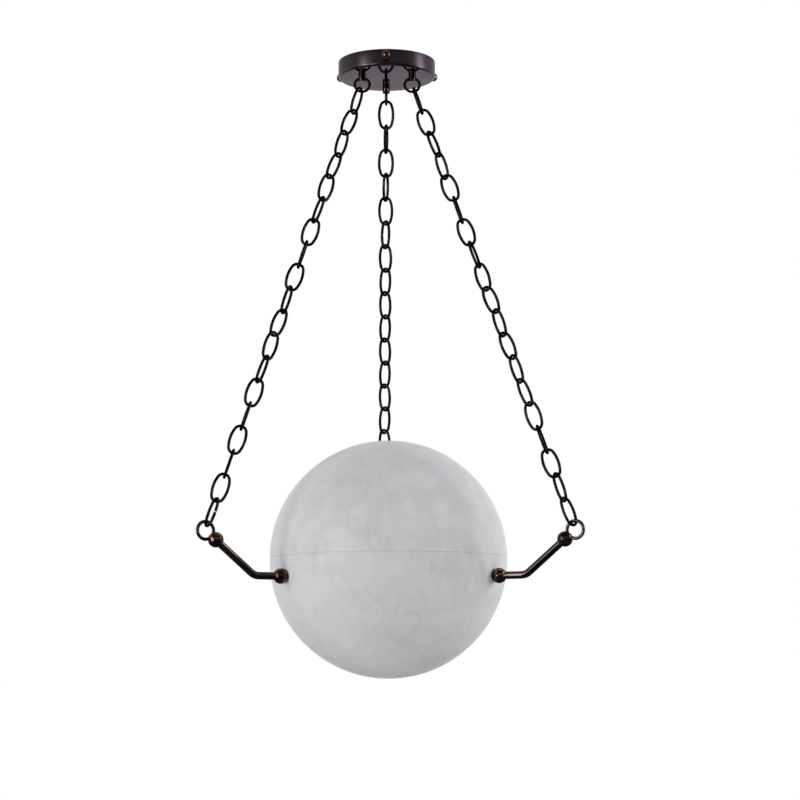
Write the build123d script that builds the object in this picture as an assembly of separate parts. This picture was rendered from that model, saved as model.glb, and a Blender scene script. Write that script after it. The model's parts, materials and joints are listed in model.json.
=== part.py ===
from build123d import *
import math
import os

# Alabaster pendant light, in millimetres. The ceiling is the plane z = 0 and the light hangs below it.
# The view from the front looks along +Y. Two arms point to the front left and right, one to the back.

# Where the three chains hang, as turns about the vertical from +X
LEFT, RIGHT, BACK = 210.0, -30.0, 90.0
SIDES = {"left": LEFT, "right": RIGHT, "back": BACK}
# The side screws of the canopy face the front and the two rear quarters
SCREW_TURNS = (-92.0, 28.0, 148.0)

# Clearances
RUNNING_GAP = 0.3      # between pieces that move against each other
FIT_GAP = 0.1          # round a stud, shank or tube in its hole
SEAT_GAP = 0.15        # between a shaped seat and the curved face that it lies on
LINK_GAP = 0.25        # between one link's wire and the next
EYE_GAP = 0.9          # between a chain's last link and its eye, for sway in two ways at once
RING_PLAY = 0.4        # round a ring's wire in its post

# Canopy, a pressed steel cup against the ceiling
CANOPY_DIAMETER = 125.0
CANOPY_HEIGHT = 21.0
CANOPY_WALL = 1.5
CANOPY_RIM_RADIUS = 3.2

# Ceiling bracket, a star plate with three turned-down tabs
BRACKET_THICKNESS = 2.0
BRACKET_DISC_DIAMETER = 84.0
BRACKET_ARM_WIDTH = 14.0
BRACKET_TAB_DROP = 14.0
BRACKET_WALL_GAP = 0.5
CEILING_HOLE_SPACING = 60.0
CEILING_HOLE_DIAMETER = 5.2
SUPPLY_HOLE_DIAMETER = 14.0

# Ball-headed side screws that hold the canopy on the bracket
SCREW_DROP = 9.8
SCREW_THREAD_DIAMETER = 4.0
SCREW_COLLAR_DIAMETER = 7.0
SCREW_BALL_DIAMETER = 11.0
SCREW_BALL_STANDOFF = 7.5
SCREW_TAIL = 4.0

# Terminal block under the bracket
TERMINAL_SIZE = (30.0, 17.0, 10.0)
TERMINAL_SETBACK = 22.0
TERMINAL_PITCH = 9.0
TERMINAL_WIRE_HOLE = 4.4
TERMINAL_SCREW_HOLE = 4.0
TERMINAL_SCREW_DEPTH = 4.0

# Hook posts under the canopy, each cross-drilled for a ring
POST_CIRCLE_RADIUS = 37.0
POST_DIAMETER = 9.5
POST_LENGTH = 9.5
POST_EDGE = 0.5
POST_HOLE_FLOOR = 1.0
STEM_DIAMETER = 6.0
STEM_NUT_ACROSS = 10.0
STEM_NUT_HEIGHT = 5.0
STEM_TAIL = 1.5
RING_OUTER_DIAMETER = 22.6
RING_WIRE = 3.5

# Chain of oval butt-jointed links
LINK_COUNT = 19
LINK_LENGTH = 39.4
LINK_WIDTH = 22.0
LINK_WIRE = 3.7
LINK_END_RADIUS = 7.5
LINK_SLIT = 0.4
# Slit of the one link that was opened to take the left eye
OPENED_LINK_SLIT = 1.4
OPENED_LINK = ("left", LINK_COUNT)
# Extra turn of the chain about its own line, as (link number, degrees), straight between them
TWISTS = {
    "left": (
        (1, 27.0), (3, 37.0), (6, 65.0), (7, 88.0), (9, 92.0), (14, 170.0), (18, 178.0), (LINK_COUNT, 332.0)
    ),
    "right": (
        (1, 0.0), (2, 5.0), (5, 89.0), (7, 92.0), (10, 150.0), (13, 150.0), (17, 90.0), (LINK_COUNT, 47.0)
    ),
    "back": ((1, 9.0), (3, 12.0), (8, 45.0), (16, 45.0), (LINK_COUNT, 0.0)),
}

# Arm: a bent rod with a ball at each end and an eye for the chain
BALL_DIAMETER = 19.0
ROD_DIAMETER = 9.4
ROD_BEND_RADIUS = 17.0
BEND_RADIUS_FROM_AXIS = 190.0
ARM_RISE = 38.5
ARM_SLANT_LENGTH = 67.0
ROD_SOCKET_DEPTH = 5.5
EYE_OUTER_DIAMETER = 25.6
EYE_WIRE = 4.3
EYE_FROM_BALL = 17.5
EYE_SHANK_DIAMETER = 5.0
EYE_SHANK_DEPTH = 5.0

# Globe of alabaster in two halves with a lapped seam
GLOBE_DIAMETER = 298.0
STONE_WALL = 11.0
SEAM_ABOVE_CENTRE = 1.6
SEAM_EDGE = 0.3
LAP_HEIGHT = 5.0
LAP_THICKNESS = 5.2
LAP_GAP = 0.5

# How an arm is fastened through the stone
STUD_BELOW_CENTRE = 24.5
STUD_DIAMETER = 6.0
STUD_TAIL = 3.5
STUD_IN_ROD = 12.0
STONE_HOLE_DIAMETER = 9.0
BALL_CENTRE_FROM_STONE = 7.0
BALL_FLAT_FROM_CENTRE = 7.6
BALL_SEAT_DIAMETER = 15.8
OUTER_GASKET_DIAMETER = 14.6
OUTER_GASKET_THICKNESS = 2.0
INNER_GASKET_DIAMETER = 16.0
INNER_GASKET_THICKNESS = 4.3
WASHER_DIAMETER = 12.0
WASHER_THICKNESS = 1.6
NUT_ACROSS = 10.0
NUT_HEIGHT = 5.0

# Spider, a three-legged plate between the studs that carries the lampholder
SPIDER_THICKNESS = 3.0
SPIDER_LEG_WIDTH = 16.0
SPIDER_HUB_DIAMETER = 46.0
SPIDER_DROP = 9.0
SPIDER_TAB_RISE = 8.0
SPIDER_BEND_RADIUS = 1.5

# Lampholder on its threaded tube
TUBE_DIAMETER = 10.0
TUBE_BORE = 7.0
TUBE_IN_HOLDER = 12.0
TUBE_TAIL = 3.0
TUBE_NUT_ACROSS = 14.0
TUBE_NUT_HEIGHT = 4.0
HOLDER_HEIGHT = 46.0
HOLDER_FLOOR = 16.0
HOLDER_BASE_DIAMETER = 30.0
HOLDER_DIAMETER = 38.0
HOLDER_SHOULDER_DIAMETER = 45.0
HOLDER_SHOULDER_HEIGHT = 22.0
HOLDER_SHOULDER_THICKNESS = 4.0
HOLDER_RING_HEIGHT = 12.0
HOLDER_RING_WALL = 4.0

# Bulb
CAP_DIAMETER = 26.4
CAP_GAP = 0.7
CAP_SHELL_HEIGHT = 19.0
CAP_NECK_HEIGHT = 5.0
CAP_TIP_HEIGHT = 3.0
CAP_TIP_DIAMETER = 9.6
BULB_DIAMETER = 60.0
BULB_NECK_DIAMETER = 26.0
BULB_SHOULDER_RADIUS = 30.0
BULB_CENTRE_ABOVE_CAP = 46.0
BULB_NECK_IN_CAP = 3.0
GLASS_WALL = 1.0

# Sizes worked out from those above
canopy_radius = CANOPY_DIAMETER / 2
canopy_bore_radius = canopy_radius - CANOPY_WALL
canopy_floor_top = CANOPY_WALL - CANOPY_HEIGHT
tab_outer_radius = canopy_bore_radius - BRACKET_WALL_GAP
ring_mean_radius = (RING_OUTER_DIAMETER - RING_WIRE) / 2
ring_inner_radius = RING_OUTER_DIAMETER / 2 - RING_WIRE
eye_mean_radius = (EYE_OUTER_DIAMETER - EYE_WIRE) / 2
eye_inner_radius = EYE_OUTER_DIAMETER / 2 - EYE_WIRE
link_inner_length = LINK_LENGTH - 2 * LINK_WIRE
ball_radius = BALL_DIAMETER / 2
rod_radius = ROD_DIAMETER / 2
globe_radius = GLOBE_DIAMETER / 2
stone_inner_radius = globe_radius - STONE_WALL
cap_height = CAP_SHELL_HEIGHT + CAP_NECK_HEIGHT + CAP_TIP_HEIGHT

# The ring's wire curves down inside its straight hole, so the hole is taller than the wire
ring_angle_at_mouth = math.asin(POST_DIAMETER / 2 / ring_mean_radius)
ring_drop_at_mouth = ring_mean_radius * (1 - math.cos(ring_angle_at_mouth))
wire_half_height_at_mouth = RING_WIRE / 2 / math.cos(ring_angle_at_mouth)
post_hole_diameter = (
    RING_WIRE / 2 + ring_drop_at_mouth + wire_half_height_at_mouth + 2 * RING_PLAY
)
post_hole_bottom = POST_HOLE_FLOOR - CANOPY_HEIGHT - POST_LENGTH
post_hole_z = post_hole_bottom + post_hole_diameter / 2
# Height of the ring's wire in its hole, which the ring swings about
ring_pivot_z = post_hole_bottom + RING_PLAY + wire_half_height_at_mouth + ring_drop_at_mouth

# Places along an arm, as distance from the light's axis and height above the stud
arm_rise = math.radians(ARM_RISE)
arm_direction = (math.cos(arm_rise), math.sin(arm_rise))
outer_ball_radius_from_axis = BEND_RADIUS_FROM_AXIS + ARM_SLANT_LENGTH * arm_direction[0]
outer_ball_rise = ARM_SLANT_LENGTH * arm_direction[1]
eye_radius_from_axis = outer_ball_radius_from_axis + EYE_FROM_BALL * arm_direction[0]
eye_rise = outer_ball_rise + EYE_FROM_BALL * arm_direction[1]

# The chains' length sets how far down the globe hangs
chain_length = LINK_COUNT * link_inner_length - (LINK_COUNT - 1) * LINK_GAP
chain_span = ring_inner_radius - RUNNING_GAP + chain_length + eye_inner_radius - EYE_GAP
back_ring_centre_z = ring_pivot_z - ring_mean_radius
eye_z = back_ring_centre_z - math.sqrt(chain_span**2 - (eye_radius_from_axis - POST_CIRCLE_RADIUS) ** 2)
stud_z = eye_z - eye_rise
globe_z = stud_z + STUD_BELOW_CENTRE

# Places along a stud, as distance from the light's axis
stone_radius_at_stud = math.sqrt(globe_radius**2 - STUD_BELOW_CENTRE**2)
stone_bore_at_stud = math.sqrt(stone_inner_radius**2 - STUD_BELOW_CENTRE**2)
inner_ball_radius_from_axis = stone_radius_at_stud + BALL_CENTRE_FROM_STONE
ball_flat_radius = inner_ball_radius_from_axis - BALL_FLAT_FROM_CENTRE
ball_seat_radius = ball_flat_radius - OUTER_GASKET_THICKNESS
rod_start_radius = inner_ball_radius_from_axis + ball_radius - ROD_SOCKET_DEPTH
tab_face_radius = stone_bore_at_stud - INNER_GASKET_THICKNESS
washer_face_radius = tab_face_radius - SPIDER_THICKNESS
nut_face_radius = washer_face_radius - WASHER_THICKNESS
stud_inner_end = nut_face_radius - NUT_HEIGHT - STUD_TAIL
stud_outer_end = rod_start_radius + STUD_IN_ROD - FIT_GAP

# Heights in the lamp
spider_top_z = stud_z - SPIDER_DROP
spider_bottom_z = spider_top_z - SPIDER_THICKNESS
holder_floor_z = spider_top_z + HOLDER_FLOOR
cap_bottom_z = holder_floor_z + RUNNING_GAP
cap_top_z = cap_bottom_z + cap_height
holder_bore_radius = CAP_DIAMETER / 2 + CAP_GAP


def around(shape, turn):
    """A shape made in the plane of +X, turned about the light's axis."""
    return Rot(0, 0, turn) * shape


def upright(diameter, bottom, top):
    """A round bar on the light's axis between two heights."""
    return Pos(0, 0, bottom) * Cylinder(
        diameter / 2, top - bottom, align=(Align.CENTER, Align.CENTER, Align.MIN)
    )


def outward(diameter, start, end, height):
    """A round bar along +X between two distances from the light's axis."""
    bar = Cylinder(diameter / 2, end - start, align=(Align.CENTER, Align.CENTER, Align.MIN))
    return Pos(start, 0, height) * Rot(0, 90, 0) * bar


def nut(across, height, hole):
    """A hexagon nut standing on its own base, its hole along Z."""
    flat = RegularPolygon(across / 2, 6, major_radius=False) - Circle(hole / 2)
    return extrude(flat, height)


def turned(*edges):
    """A solid of revolution about Z from the edges of its half profile in the XZ plane."""
    return revolve(make_face(Wire(list(edges))), Axis.Z)


def xz(x, z):
    return (x, 0, z)


def make_canopy():
    cup = upright(CANOPY_DIAMETER, -CANOPY_HEIGHT, 0)
    cup = fillet(cup.edges().group_by(Axis.Z)[0], CANOPY_RIM_RADIUS)
    hollow = upright(2 * canopy_bore_radius, canopy_floor_top, 0)
    hollow = fillet(hollow.edges().group_by(Axis.Z)[0], CANOPY_RIM_RADIUS - CANOPY_WALL)
    cup -= hollow
    for turn in SIDES.values():
        cup -= around(
            Pos(POST_CIRCLE_RADIUS, 0, 0) * upright(STEM_DIAMETER + 2 * FIT_GAP, -CANOPY_HEIGHT, 0), turn
        )
    for turn in SCREW_TURNS:
        hole = outward(SCREW_THREAD_DIAMETER + 2 * FIT_GAP, tab_outer_radius, CANOPY_DIAMETER, -SCREW_DROP)
        cup -= around(hole, turn)
    return cup


def make_ceiling_bracket():
    plate = upright(BRACKET_DISC_DIAMETER, -BRACKET_THICKNESS, 0)
    for turn in SCREW_TURNS:
        arm = Pos(tab_outer_radius / 2, 0, -BRACKET_THICKNESS / 2) * Box(
            tab_outer_radius, BRACKET_ARM_WIDTH, BRACKET_THICKNESS
        )
        tab = Pos(tab_outer_radius, 0, 0) * Box(
            BRACKET_THICKNESS,
            BRACKET_ARM_WIDTH,
            BRACKET_TAB_DROP,
            align=(Align.MAX, Align.CENTER, Align.MAX),
        )
        plate += around(arm + tab, turn)
    # the tabs' outer corners follow the canopy's round wall
    plate &= upright(2 * tab_outer_radius, -BRACKET_TAB_DROP, 0)
    for turn in SCREW_TURNS:
        hole = outward(SCREW_THREAD_DIAMETER + 2 * FIT_GAP, canopy_radius / 2, canopy_radius, -SCREW_DROP)
        plate -= around(hole, turn)
    for side in (-1, 1):
        plate -= Pos(side * CEILING_HOLE_SPACING / 2, 0, 0) * upright(
            CEILING_HOLE_DIAMETER, -BRACKET_THICKNESS, 0
        )
    plate -= upright(SUPPLY_HOLE_DIAMETER, -BRACKET_THICKNESS, 0)
    return plate


def make_canopy_screw():
    """One ball-headed screw along +X, its collar against the canopy's wall."""
    seat = canopy_radius + SEAT_GAP
    ball_centre = canopy_radius + SCREW_BALL_STANDOFF
    thread_end = tab_outer_radius - BRACKET_THICKNESS - SCREW_TAIL
    screw = outward(SCREW_THREAD_DIAMETER, thread_end, seat, -SCREW_DROP)
    screw += outward(SCREW_COLLAR_DIAMETER, seat, ball_centre, -SCREW_DROP)
    screw += Pos(ball_centre, 0, -SCREW_DROP) * Sphere(SCREW_BALL_DIAMETER / 2)
    return screw


def make_terminal_block():
    width, depth, height = TERMINAL_SIZE
    block = Pos(0, 0, -BRACKET_THICKNESS) * Box(
        width, depth, height, align=(Align.CENTER, Align.CENTER, Align.MAX)
    )
    for place in (-1, 0, 1):
        x = place * TERMINAL_PITCH
        middle = -BRACKET_THICKNESS - height / 2
        bottom = -BRACKET_THICKNESS - height
        block -= Pos(x, 0, middle) * Rot(90, 0, 0) * Cylinder(TERMINAL_WIRE_HOLE / 2, depth)
        block -= Pos(x, 0, 0) * upright(TERMINAL_SCREW_HOLE, bottom, bottom + TERMINAL_SCREW_DEPTH)
    return Pos(0, -TERMINAL_SETBACK, 0) * block


def make_hook_post(hole_turn):
    """A post on the light's axis, with its cross hole turned from +X."""
    post = upright(POST_DIAMETER, -CANOPY_HEIGHT - POST_LENGTH, -CANOPY_HEIGHT)
    post = chamfer(post.edges().group_by(Axis.Z)[0], POST_EDGE)
    post += upright(STEM_DIAMETER, -CANOPY_HEIGHT, canopy_floor_top + STEM_NUT_HEIGHT + STEM_TAIL)
    hole = outward(post_hole_diameter, -POST_DIAMETER, POST_DIAMETER, post_hole_z)
    return post - Rot(0, 0, hole_turn) * hole


def make_chain_link(slit):
    """One link standing on Z in the XZ plane: two end arcs and two side arcs, cut on one side."""
    half_length = (LINK_LENGTH - LINK_WIRE) / 2
    half_width = (LINK_WIDTH - LINK_WIRE) / 2
    end = LINK_END_RADIUS
    # the side arc that meets both end arcs in a line
    side = (half_length**2 + half_width**2 - 2 * half_length * end) / (2 * (half_width - end))
    side_centre = side - half_width
    end_centre = half_length - end
    meet_angle = math.atan2(end_centre, side_centre)
    slit_angle = math.asin(slit / 2 / side)
    meet_x = end * math.cos(meet_angle)
    meet_z = end_centre + end * math.sin(meet_angle)

    def on_side(angle):
        return xz(side * math.cos(angle) - side_centre, side * math.sin(angle))

    half_way = (meet_angle + slit_angle) / 2
    start = on_side(slit_angle)
    path = Wire([
        ThreePointArc(start, on_side(half_way), xz(meet_x, meet_z)),
        ThreePointArc(xz(meet_x, meet_z), xz(0, half_length), xz(-meet_x, meet_z)),
        ThreePointArc(xz(-meet_x, meet_z), xz(-half_width, 0), xz(-meet_x, -meet_z)),
        ThreePointArc(xz(-meet_x, -meet_z), xz(0, -half_length), xz(meet_x, -meet_z)),
        ThreePointArc(xz(meet_x, -meet_z), on_side(-half_way), on_side(-slit_angle)),
    ])
    section = Plane(origin=start, z_dir=path % 0) * Circle(LINK_WIRE / 2)
    return sweep(section, path)


def post_place(side):
    turn = math.radians(SIDES[side])
    return Vector(POST_CIRCLE_RADIUS * math.cos(turn), POST_CIRCLE_RADIUS * math.sin(turn), 0)


def eye_place(side):
    turn = math.radians(SIDES[side])
    return Vector(eye_radius_from_axis * math.cos(turn), eye_radius_from_axis * math.sin(turn), eye_z)


def ring_tilt(side):
    """How far a front ring leans forward about X, in line with its chain. The back ring hangs plumb."""
    if side == "back":
        return 0.0
    return math.atan2(post_place(side).Y - eye_place(side).Y, ring_pivot_z - eye_z)


def ring_pivot(side):
    return post_place(side) + Vector(0, 0, ring_pivot_z)


def ring_centre(side):
    tilt = ring_tilt(side)
    return ring_pivot(side) - Vector(0, math.sin(tilt), math.cos(tilt)) * ring_mean_radius


def make_ring(side):
    ring = Torus(ring_mean_radius, RING_WIRE / 2)
    if side == "back":
        facing = Rot(0, 90, 0)
    else:
        facing = Rot(90 - math.degrees(ring_tilt(side)), 0, 0)
    centre = ring_centre(side)
    return Pos(centre.X, centre.Y, centre.Z) * facing * ring


def twist_at(side, number):
    """The extra turn of one link, read between the chain's twist marks."""
    marks = TWISTS[side]
    for (first, low), (last, high) in zip(marks, marks[1:]):
        if first <= number <= last:
            return low + (high - low) * (number - first) / (last - first)
    return marks[-1][1]


def chain_line(side):
    """Top and bottom of a chain's line, its direction down and the distance between links."""
    top = ring_centre(side)
    bottom = eye_place(side)
    line = bottom - top
    first = ring_inner_radius - RUNNING_GAP + link_inner_length / 2
    last = line.length - (eye_inner_radius - EYE_GAP + link_inner_length / 2)
    return top, line.normalized(), first, (last - first) / (LINK_COUNT - 1)


def link_place(side, number):
    """Where a link's middle is and how it is turned, the first one square to its ring."""
    top, down, first, pitch = chain_line(side)
    across = Vector(1, 0, 0) if side == "back" else Vector(0, 1, 0)
    middle = top + down * (first + (number - 1) * pitch)
    turn = 90.0 * (number - 1) + twist_at(side, number)
    square = Plane(origin=middle, x_dir=across - down * across.dot(down), z_dir=down)
    return square.location * Rot(0, 0, turn)


def make_links(side, numbers):
    link = make_chain_link(LINK_SLIT)
    links = []
    for number in numbers:
        shape = make_chain_link(OPENED_LINK_SLIT) if (side, number) == OPENED_LINK else link
        links.append(link_place(side, number) * shape)
    return links


def make_eye():
    """The eye of the arm along +X: a ring in the arm's plane and a shank into the ball."""
    ring = Rot(90, 0, 0) * Torus(eye_mean_radius, EYE_WIRE / 2)
    shank_start = EYE_FROM_BALL - ball_radius + EYE_SHANK_DEPTH
    shank = Rot(0, -90, 0) * Pos(0, 0, eye_mean_radius) * Cylinder(
        EYE_SHANK_DIAMETER / 2, shank_start - eye_mean_radius, align=(Align.CENTER, Align.CENTER, Align.MIN)
    )
    return Pos(eye_radius_from_axis, 0, eye_z) * Rot(0, -ARM_RISE, 0) * (ring + shank)


def make_outer_ball():
    ball = Sphere(ball_radius)
    seat = Rot(90, 0, 0) * Torus(eye_mean_radius, EYE_WIRE / 2 + FIT_GAP)
    ball -= Pos(EYE_FROM_BALL, 0, 0) * seat
    ball -= outward(
        EYE_SHANK_DIAMETER + 2 * FIT_GAP, ball_radius - EYE_SHANK_DEPTH - FIT_GAP, BALL_DIAMETER, 0
    )
    ball -= outward(ROD_DIAMETER + 2 * FIT_GAP, -BALL_DIAMETER, ROD_SOCKET_DEPTH - ball_radius, 0)
    return Pos(outer_ball_radius_from_axis, 0, stud_z + outer_ball_rise) * Rot(0, -ARM_RISE, 0) * ball


def make_arm_rod():
    slant_end = ARM_SLANT_LENGTH - ball_radius + ROD_SOCKET_DEPTH
    start = xz(rod_start_radius, stud_z)
    corner = xz(BEND_RADIUS_FROM_AXIS, stud_z)
    end = xz(BEND_RADIUS_FROM_AXIS + slant_end * arm_direction[0], stud_z + slant_end * arm_direction[1])
    path = FilletPolyline(start, corner, end, radius=ROD_BEND_RADIUS)
    rod = sweep(Plane(origin=start, z_dir=(1, 0, 0)) * Circle(rod_radius), path)
    stud_end = rod_start_radius + STUD_IN_ROD
    return rod - outward(STUD_DIAMETER + 2 * FIT_GAP, rod_start_radius, stud_end, stud_z)


def make_inner_ball():
    ball = Pos(inner_ball_radius_from_axis, 0, stud_z) * Sphere(ball_radius)
    ball -= outward(2 * BALL_DIAMETER, ball_flat_radius - BALL_DIAMETER, ball_flat_radius, stud_z)
    ball -= outward(STUD_DIAMETER + 2 * FIT_GAP, ball_flat_radius, rod_start_radius, stud_z)
    ball -= outward(ROD_DIAMETER + 2 * FIT_GAP, rod_start_radius, rod_start_radius + BALL_DIAMETER, stud_z)
    return ball


def make_outer_gasket():
    """A rubber washer between the floor of the stone's seat and the ball's flat."""
    pad = outward(OUTER_GASKET_DIAMETER, ball_seat_radius, ball_flat_radius, stud_z)
    return pad - outward(STUD_DIAMETER + 2 * FIT_GAP, ball_seat_radius, ball_flat_radius, stud_z)


def make_inner_gasket():
    pad = outward(INNER_GASKET_DIAMETER, tab_face_radius, stone_radius_at_stud, stud_z)
    pad &= Pos(0, 0, globe_z) * Sphere(stone_inner_radius - SEAT_GAP)
    return pad - outward(STUD_DIAMETER + 2 * FIT_GAP, tab_face_radius, stone_radius_at_stud, stud_z)


def make_stud():
    return outward(STUD_DIAMETER, stud_inner_end, stud_outer_end, stud_z)


def make_stud_washer():
    return outward(WASHER_DIAMETER, nut_face_radius, washer_face_radius, stud_z) - outward(
        STUD_DIAMETER + 2 * FIT_GAP, nut_face_radius, washer_face_radius, stud_z
    )


def make_stud_nut():
    hexagon = nut(NUT_ACROSS, NUT_HEIGHT, STUD_DIAMETER + 2 * FIT_GAP)
    return Pos(nut_face_radius - NUT_HEIGHT, 0, stud_z) * Rot(0, 90, 0) * hexagon


def stone_point(radius, height):
    return xz(math.sqrt(radius**2 - height**2), height)


def stone_middle(radius, height, pole):
    """A point of the stone's round half way between a rim height and a pole."""
    angle = (math.asin(height / radius) + pole * math.pi / 2) / 2
    return xz(radius * math.cos(angle), radius * math.sin(angle))


def make_lower_bowl():
    seam = SEAM_ABOVE_CENTRE
    rim = stone_point(globe_radius, seam - SEAM_EDGE)
    edge = xz(stone_point(globe_radius, seam)[0] - SEAM_EDGE, seam)
    lap_radius = stone_inner_radius + LAP_THICKNESS
    lip = stone_point(stone_inner_radius, seam + LAP_HEIGHT)
    bowl = turned(
        ThreePointArc(xz(0, -globe_radius), stone_middle(globe_radius, seam - SEAM_EDGE, -1), rim),
        Line(rim, edge),
        Line(edge, xz(lap_radius, seam)),
        Line(xz(lap_radius, seam), xz(lap_radius, seam + LAP_HEIGHT)),
        Line(xz(lap_radius, seam + LAP_HEIGHT), lip),
        ThreePointArc(
            lip, stone_middle(stone_inner_radius, seam + LAP_HEIGHT, -1), xz(0, -stone_inner_radius)
        ),
        Line(xz(0, -stone_inner_radius), xz(0, -globe_radius)),
    )
    bowl = Pos(0, 0, globe_z) * bowl
    for turn in SIDES.values():
        bowl -= around(outward(STONE_HOLE_DIAMETER, tab_face_radius, globe_radius, stud_z), turn)
        bowl -= around(outward(BALL_SEAT_DIAMETER, ball_seat_radius, globe_radius, stud_z), turn)
    return bowl


def make_upper_dome():
    seam = SEAM_ABOVE_CENTRE + RUNNING_GAP
    rim = stone_point(globe_radius, seam + SEAM_EDGE)
    edge = xz(stone_point(globe_radius, seam)[0] - SEAM_EDGE, seam)
    rebate_radius = stone_inner_radius + LAP_THICKNESS + LAP_GAP
    lip = stone_point(stone_inner_radius, seam + LAP_HEIGHT)
    dome = turned(
        ThreePointArc(xz(0, globe_radius), stone_middle(globe_radius, seam + SEAM_EDGE, 1), rim),
        Line(rim, edge),
        Line(edge, xz(rebate_radius, seam)),
        Line(xz(rebate_radius, seam), xz(rebate_radius, seam + LAP_HEIGHT)),
        Line(xz(rebate_radius, seam + LAP_HEIGHT), lip),
        ThreePointArc(
            lip, stone_middle(stone_inner_radius, seam + LAP_HEIGHT, 1), xz(0, stone_inner_radius)
        ),
        Line(xz(0, stone_inner_radius), xz(0, globe_radius)),
    )
    return Pos(0, 0, globe_z) * dome


def make_spider():
    plate = upright(SPIDER_HUB_DIAMETER, spider_bottom_z, spider_top_z)
    tab_height = SPIDER_TAB_RISE + SPIDER_DROP + SPIDER_THICKNESS
    for turn in SIDES.values():
        leg = Pos(0, 0, spider_bottom_z) * Box(
            tab_face_radius, SPIDER_LEG_WIDTH, SPIDER_THICKNESS, align=(Align.MIN, Align.CENTER, Align.MIN)
        )
        tab = Pos(tab_face_radius, 0, spider_bottom_z) * Box(
            SPIDER_THICKNESS, SPIDER_LEG_WIDTH, tab_height, align=(Align.MAX, Align.CENTER, Align.MIN)
        )
        strip = leg + tab
        inside = strip.edges().filter_by(Axis.Y).sort_by_distance((washer_face_radius, 0, spider_top_z))[0]
        strip = fillet(inside, SPIDER_BEND_RADIUS)
        outside = strip.edges().filter_by(Axis.Y).sort_by_distance((tab_face_radius, 0, spider_bottom_z))[0]
        strip = fillet(outside, SPIDER_BEND_RADIUS)
        strip -= outward(STUD_DIAMETER + 2 * FIT_GAP, washer_face_radius, tab_face_radius, stud_z)
        plate += around(strip, turn)
    return plate - upright(TUBE_DIAMETER + 2 * FIT_GAP, spider_bottom_z, spider_top_z)


def make_holder_tube():
    bottom = spider_bottom_z - TUBE_NUT_HEIGHT - TUBE_TAIL
    top = spider_top_z + TUBE_IN_HOLDER - FIT_GAP
    return upright(TUBE_DIAMETER, bottom, top) - upright(TUBE_BORE, bottom, top)


def make_tube_nut():
    hexagon = nut(TUBE_NUT_ACROSS, TUBE_NUT_HEIGHT, TUBE_DIAMETER + 2 * FIT_GAP)
    return Pos(0, 0, spider_bottom_z - TUBE_NUT_HEIGHT) * hexagon


def make_lampholder():
    base, wall, shoulder = HOLDER_BASE_DIAMETER / 2, HOLDER_DIAMETER / 2, HOLDER_SHOULDER_DIAMETER / 2
    under_shoulder = HOLDER_SHOULDER_HEIGHT - HOLDER_SHOULDER_THICKNESS
    profile = Polyline(
        xz(0, 0),
        xz(base, 0),
        xz(wall, HOLDER_FLOOR / 2),
        xz(wall, under_shoulder),
        xz(shoulder, under_shoulder),
        xz(shoulder, HOLDER_SHOULDER_HEIGHT),
        xz(wall, HOLDER_SHOULDER_HEIGHT),
        xz(wall, HOLDER_HEIGHT),
        xz(holder_bore_radius, HOLDER_HEIGHT),
        xz(holder_bore_radius, HOLDER_FLOOR),
        xz(0, HOLDER_FLOOR),
        close=True,
    )
    holder = revolve(make_face(profile), Axis.Z)
    holder -= upright(TUBE_DIAMETER + 2 * FIT_GAP, 0, TUBE_IN_HOLDER)
    return Pos(0, 0, spider_top_z) * holder


def make_holder_ring():
    bottom = spider_top_z + HOLDER_SHOULDER_HEIGHT
    bore = HOLDER_DIAMETER + 2 * FIT_GAP
    ring = upright(bore + 2 * HOLDER_RING_WALL, bottom, bottom + HOLDER_RING_HEIGHT)
    return ring - upright(bore, bottom, bottom + HOLDER_RING_HEIGHT)


def make_bulb_cap():
    shell, tip = CAP_DIAMETER / 2, CAP_TIP_DIAMETER / 2
    socket = BULB_NECK_DIAMETER / 2 - GLASS_WALL
    profile = Polyline(
        xz(0, 0),
        xz(tip, 0),
        xz(tip, CAP_TIP_HEIGHT),
        xz(shell, CAP_TIP_HEIGHT + CAP_NECK_HEIGHT),
        xz(shell, cap_height),
        xz(socket - FIT_GAP, cap_height),
        xz(socket - FIT_GAP, cap_height + BULB_NECK_IN_CAP),
        xz(0, cap_height + BULB_NECK_IN_CAP),
        close=True,
    )
    return Pos(0, 0, cap_bottom_z) * revolve(make_face(profile), Axis.Z)


def bulb_outline(inset):
    """The bulb's closed outline above its cap, drawn in by the glass's thickness where asked."""
    neck = BULB_NECK_DIAMETER / 2 - inset
    round_radius = BULB_DIAMETER / 2 - inset
    shoulder = BULB_SHOULDER_RADIUS + inset
    shoulder_x = neck + shoulder
    rise = math.sqrt((round_radius + shoulder) ** 2 - shoulder_x**2)
    shoulder_z = BULB_CENTRE_ABOVE_CAP - rise
    share = round_radius / (round_radius + shoulder)
    meet = xz(shoulder_x * share, BULB_CENTRE_ABOVE_CAP - rise * share)
    lean = math.atan2(rise, shoulder_x) / 2
    on_shoulder = xz(shoulder_x - shoulder * math.cos(lean), shoulder_z + shoulder * math.sin(lean))
    on_round = xz(round_radius, BULB_CENTRE_ABOVE_CAP)
    top = xz(0, BULB_CENTRE_ABOVE_CAP + round_radius)
    return turned(
        Line(xz(0, 0), xz(neck, 0)),
        Line(xz(neck, 0), xz(neck, shoulder_z)),
        ThreePointArc(xz(neck, shoulder_z), on_shoulder, meet),
        ThreePointArc(meet, on_round, top),
        Line(top, xz(0, 0)),
    )


def make_bulb_glass():
    return Pos(0, 0, cap_top_z) * (bulb_outline(0) - bulb_outline(GLASS_WALL))


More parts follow.
